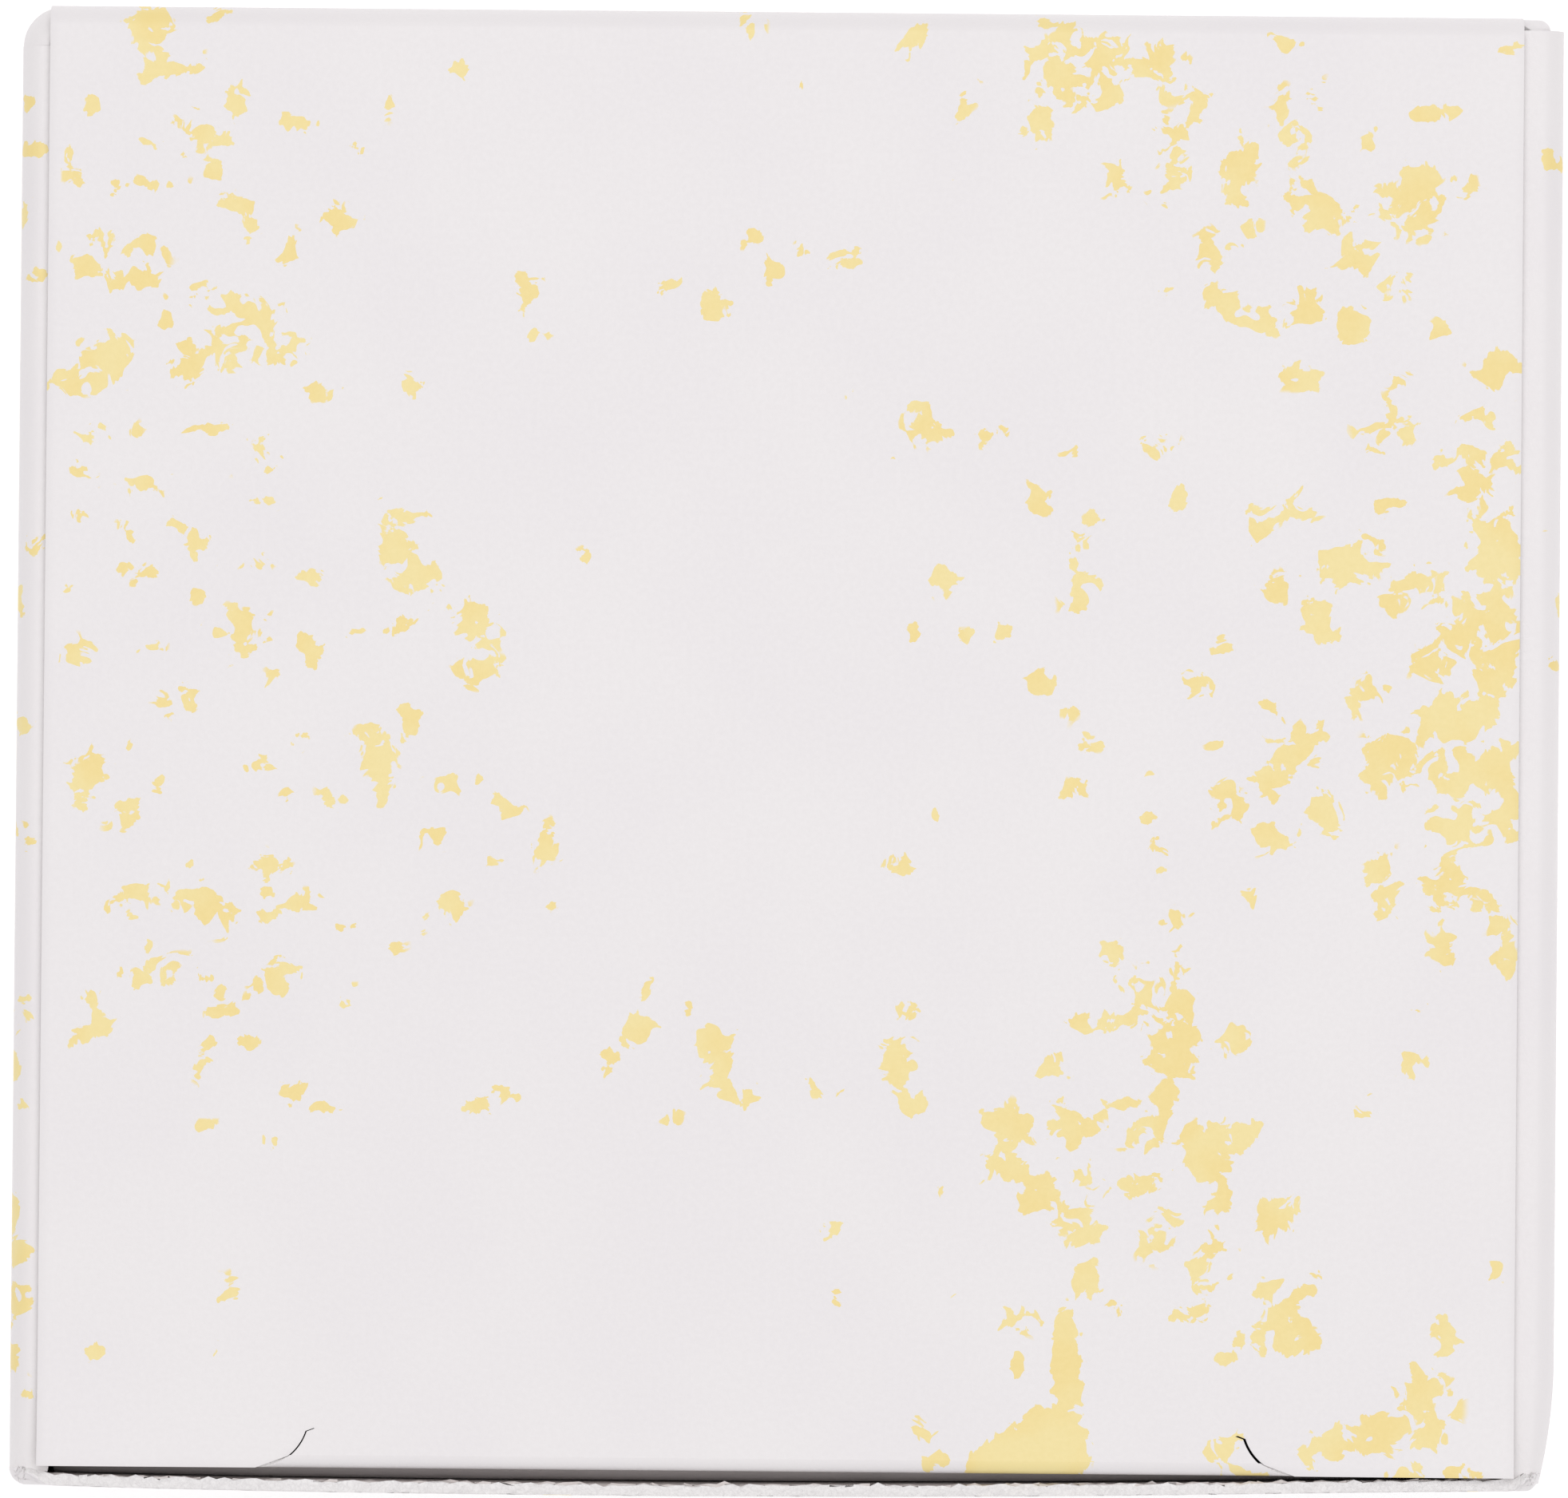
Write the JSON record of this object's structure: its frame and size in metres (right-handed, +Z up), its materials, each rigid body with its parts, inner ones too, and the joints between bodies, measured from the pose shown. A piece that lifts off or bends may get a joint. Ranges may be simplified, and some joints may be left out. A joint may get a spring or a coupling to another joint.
{
  "type": "boxed rosin cake",
  "caption": "Square reverse-tuck carton of white board with yellow flecks, holding a round cake of bow rosin glued to a gathered cloth.",
  "frame": {"origin": "centre of the base, on the surface that the carton stands on", "axes": "+Z up through the lid, +X across the side panels, -Y towards the front, where the lid opens"},
  "size_m": [0.0612, 0.0588, 0.03],
  "materials": {
    "board": "white coated boxboard printed with pale yellow flecks",
    "seam_adhesive": "thin dried carton glue",
    "cake_adhesive": "soft dried glue",
    "rosin": "glossy clear amber",
    "cloth": "short-pile dark plum velour"
  },
  "bodies": {
    "carton_tube": {"front_panel": "board", "back_panel": "board", "left_panel": "board", "right_panel": "board", "glue_flap": "board", "seam_glue": "seam_adhesive"},
    "lid": {"lid_panel": "board"},
    "tuck": {"tuck_flap": "board"},
    "left_dust": {"left_dust_flap": "board"},
    "right_dust": {"right_dust_flap": "board"},
    "base": {"base_panel": "board"},
    "base_tuck": {"base_tuck_flap": "board"},
    "base_left_dust": {"base_left_dust_flap": "board"},
    "base_right_dust": {"base_right_dust_flap": "board"},
    "contents": {"rosin_cake": "rosin", "glue_disc": "cake_adhesive", "cloth_wrap": "cloth"}
  },
  "joints": [
    {"name": "lid_hinge", "type": "hinge", "parent": "carton_tube", "child": "lid", "pos_m": [0, 0.02917, 0.02977], "axis": [-1, 0, 0], "range_deg": [0, 175]},
    {"name": "tuck_crease", "type": "hinge", "parent": "lid", "child": "tuck", "pos_m": [0, -0.02823, 0.02977], "axis": [-1, 0, 0], "range_deg": [0, 58.4]},
    {"name": "left_dust_crease", "type": "hinge", "parent": "carton_tube", "child": "left_dust", "pos_m": [-0.03037, 0, 0.02923], "axis": [0, -1, 0], "range_deg": [0, 116.8]},
    {"name": "right_dust_crease", "type": "hinge", "parent": "carton_tube", "child": "right_dust", "pos_m": [0.03037, 0, 0.02923], "axis": [0, 1, 0], "range_deg": [0, 116.8]},
    {"name": "base_hinge", "type": "hinge", "parent": "carton_tube", "child": "base", "pos_m": [0, -0.02917, 0.00022], "axis": [-1, 0, 0], "range_deg": [0, 175]},
    {"name": "base_tuck_crease", "type": "hinge", "parent": "base", "child": "base_tuck", "pos_m": [0, 0.02823, 0.00022], "axis": [-1, 0, 0], "range_deg": [0, 58.4]},
    {"name": "base_left_dust_crease", "type": "hinge", "parent": "carton_tube", "child": "base_left_dust", "pos_m": [-0.03037, 0, 0.00077], "axis": [0, 1, 0], "range_deg": [0, 116.8]},
    {"name": "base_right_dust_crease", "type": "hinge", "parent": "carton_tube", "child": "base_right_dust", "pos_m": [0.03037, 0, 0.00077], "axis": [0, -1, 0], "range_deg": [0, 116.8]},
    {"name": "contents_lift", "type": "slide", "parent": "carton_tube", "child": "contents", "axis": [0, 0, 1], "range_m": [0, 0.0321]}
  ],
  "couplings": [
    {"joint": "tuck_crease", "follows": "lid_hinge", "ratio": 0.33333},
    {"joint": "left_dust_crease", "follows": "lid_hinge", "ratio": 0.66667},
    {"joint": "right_dust_crease", "follows": "lid_hinge", "ratio": 0.66667},
    {"joint": "contents_lift", "follows": "lid_hinge", "m_per_rad": 0.0105},
    {"joint": "base_tuck_crease", "follows": "base_hinge", "ratio": 0.33333},
    {"joint": "base_left_dust_crease", "follows": "base_hinge", "ratio": 0.66667},
    {"joint": "base_right_dust_crease", "follows": "base_hinge", "ratio": 0.66667}
  ]
}
